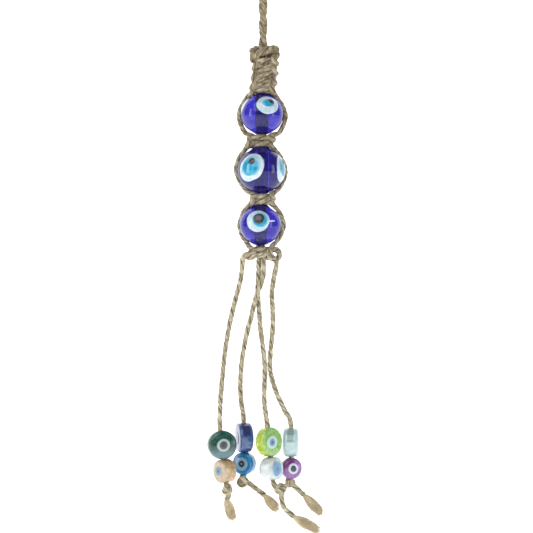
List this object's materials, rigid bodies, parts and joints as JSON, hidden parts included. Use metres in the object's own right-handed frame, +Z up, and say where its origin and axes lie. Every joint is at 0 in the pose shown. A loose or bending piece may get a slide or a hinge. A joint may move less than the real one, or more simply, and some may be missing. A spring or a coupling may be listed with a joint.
{
  "type": "evil eye ornament",
  "caption": "Hanging charm: round glass eye beads caged in knotted hemp twine, with disc beads and frayed ends on loose tails, hung by a twine loop.",
  "frame": {"origin": "inside top of the hanging loop, where a nail or hook carries it", "axes": "+Z up along the hanging ornament, -Y towards the viewer, +X to the viewer's right"},
  "size_m": [0.0512, 0.0208, 0.2684],
  "materials": {
    "hemp_twine": "natural two-ply hemp twine, matt and hairy",
    "cobalt_glass": "clear cobalt lampwork glass, glossy",
    "white_glass": "opaque white glass, glossy",
    "sky_blue_glass": "opaque sky-blue glass, glossy",
    "pale_blue_glass": "opaque pale blue-grey glass, glossy",
    "cobalt_eye_glass": "opaque royal-blue glass, glossy",
    "black_glass": "opaque black glass, glossy",
    "teal_disc_glass": "opaque dark green glass, glossy",
    "navy_disc_glass": "opaque navy glass, glossy",
    "lime_disc_glass": "opaque lime glass, glossy",
    "aqua_disc_glass": "opaque pale aqua glass, glossy",
    "amber_disc_glass": "opaque peach glass with amber streaks, glossy",
    "azure_disc_glass": "opaque azure glass, glossy",
    "white_disc_glass": "opaque white glass, glossy",
    "purple_disc_glass": "opaque purple glass, glossy"
  },
  "bodies": {
    "hang_loop": {"hanging_loop": "hemp_twine"},
    "upper_cage": {"sinnet": "hemp_twine", "core_cords_upper": "hemp_twine", "side_cord_upper_left": "hemp_twine", "side_cord_upper_right": "hemp_twine", "joining_knot_upper": "hemp_twine"},
    "bead_upper": {"eye_bead_upper": "cobalt_glass", "eye_white_upper": "white_glass", "eye_iris_upper": "sky_blue_glass", "eye_pupil_upper": "black_glass"},
    "middle_cage": {"core_cords_middle": "hemp_twine", "side_cord_middle_left": "hemp_twine", "side_cord_middle_right": "hemp_twine", "joining_knot_lower": "hemp_twine"},
    "bead_middle": {"eye_bead_middle": "cobalt_glass", "eye_white_middle": "white_glass", "eye_iris_middle": "sky_blue_glass", "eye_pupil_middle": "black_glass"},
    "lower_cage": {"core_cords_lower": "hemp_twine", "side_cord_lower_left": "hemp_twine", "side_cord_lower_right": "hemp_twine", "gathering_knot": "hemp_twine", "tail_top_2": "hemp_twine", "tail_top_3": "hemp_twine"},
    "bead_lower": {"eye_bead_lower": "cobalt_glass", "eye_white_lower": "white_glass", "eye_iris_lower": "sky_blue_glass", "eye_pupil_lower": "black_glass"},
    "tail_1": {"tail_cord_1": "hemp_twine", "tail_knot_1": "hemp_twine", "tail_fray_1": "hemp_twine"},
    "tail_2": {"tail_cord_2": "hemp_twine", "tail_knot_2": "hemp_twine", "tail_fray_2": "hemp_twine"},
    "tail_3": {"tail_cord_3": "hemp_twine", "tail_knot_3": "hemp_twine", "tail_fray_3": "hemp_twine"},
    "tail_4": {"tail_cord_4": "hemp_twine", "tail_knot_4": "hemp_twine", "tail_fray_4": "hemp_twine"},
    "disc_teal": {"disc_teal": "teal_disc_glass", "disc_teal_eyes": "white_glass"},
    "disc_navy": {"disc_navy": "navy_disc_glass", "disc_navy_eyes": "white_glass"},
    "disc_lime": {"disc_lime": "lime_disc_glass", "disc_lime_eyes": "white_glass"},
    "disc_aqua": {"disc_aqua": "aqua_disc_glass", "disc_aqua_eyes": "white_glass"},
    "disc_amber": {"disc_amber": "amber_disc_glass", "disc_amber_eyes": "sky_blue_glass"},
    "disc_azure": {"disc_azure": "azure_disc_glass", "disc_azure_eyes": "pale_blue_glass"},
    "disc_white": {"disc_white": "white_disc_glass", "disc_white_eyes": "cobalt_eye_glass"},
    "disc_purple": {"disc_purple": "purple_disc_glass", "disc_purple_eyes": "white_glass"}
  },
  "joints": [
    {"name": "sinnet_swing", "type": "hinge", "parent": "hang_loop", "child": "upper_cage", "pos_m": [0, 0, -0.0558], "axis": [1, 0, 0], "range_deg": [-60, 60]},
    {"name": "middle_flex", "type": "hinge", "parent": "upper_cage", "child": "middle_cage", "pos_m": [-0.0014, 0, -0.0967], "axis": [1, 0, 0], "range_deg": [-20, 20]},
    {"name": "lower_flex", "type": "hinge", "parent": "middle_cage", "child": "lower_cage", "pos_m": [0, 0, -0.1216], "axis": [1, 0, 0], "range_deg": [-20, 20]},
    {"name": "upper_bead_spin", "type": "hinge", "parent": "upper_cage", "child": "bead_upper", "pos_m": [0, 0, -0.0851], "axis": [0, 0, 1], "continuous": true},
    {"name": "middle_bead_spin", "type": "hinge", "parent": "middle_cage", "child": "bead_middle", "pos_m": [-0.0004, 0, -0.1093], "axis": [0, 0, 1], "continuous": true},
    {"name": "lower_bead_spin", "type": "hinge", "parent": "lower_cage", "child": "bead_lower", "pos_m": [-0.0007, 0, -0.1328], "axis": [0, 0, 1], "continuous": true},
    {"name": "tail_1_swing", "type": "hinge", "parent": "lower_cage", "child": "tail_1", "pos_m": [-0.0084, 0, -0.1484], "axis": [1, 0, 0], "range_deg": [-70, 0]},
    {"name": "tail_2_swing", "type": "hinge", "parent": "lower_cage", "child": "tail_2", "pos_m": [-0.0042, -0.0009, -0.17], "axis": [1, 0, 0], "range_deg": [0, 70]},
    {"name": "tail_3_swing", "type": "hinge", "parent": "lower_cage", "child": "tail_3", "pos_m": [-0.00125, 0.0009, -0.17], "axis": [1, 0, 0], "range_deg": [-70, 0]},
    {"name": "tail_4_swing", "type": "hinge", "parent": "lower_cage", "child": "tail_4", "pos_m": [0.0062, 0, -0.1484], "axis": [1, 0, 0], "range_deg": [0, 70]},
    {"name": "teal_disc_spin", "type": "hinge", "parent": "tail_1", "child": "disc_teal", "pos_m": [-0.01718, -0.0045, -0.2269], "axis": [-0.1036, 0, 0.9946], "continuous": true},
    {"name": "navy_disc_spin", "type": "hinge", "parent": "tail_2", "child": "disc_navy", "pos_m": [-0.00787, 0.0045, -0.2245], "axis": [-0.0169, 0, 0.9999], "continuous": true},
    {"name": "lime_disc_spin", "type": "hinge", "parent": "tail_3", "child": "disc_lime", "pos_m": [0.00296, -0.0045, -0.2256], "axis": [-0.0995, 0, 0.995], "continuous": true},
    {"name": "aqua_disc_spin", "type": "hinge", "parent": "tail_4", "child": "disc_aqua", "pos_m": [0.01247, 0.0045, -0.2266], "axis": [-0.0086, 0, 1], "continuous": true},
    {"name": "amber_disc_spin", "type": "hinge", "parent": "tail_1", "child": "disc_amber", "pos_m": [-0.01601, -0.0045, -0.2381], "axis": [-0.1036, 0, 0.9946], "continuous": true},
    {"name": "azure_disc_spin", "type": "hinge", "parent": "tail_2", "child": "disc_azure", "pos_m": [-0.00768, 0.0045, -0.2357], "axis": [-0.0169, 0, 0.9999], "continuous": true},
    {"name": "white_disc_spin", "type": "hinge", "parent": "tail_3", "child": "disc_white", "pos_m": [0.0041, -0.0045, -0.237], "axis": [-0.0995, 0, 0.995], "continuous": true},
    {"name": "purple_disc_spin", "type": "hinge", "parent": "tail_4", "child": "disc_purple", "pos_m": [0.01256, 0.0045, -0.2378], "axis": [-0.0086, 0, 1], "continuous": true}
  ]
}
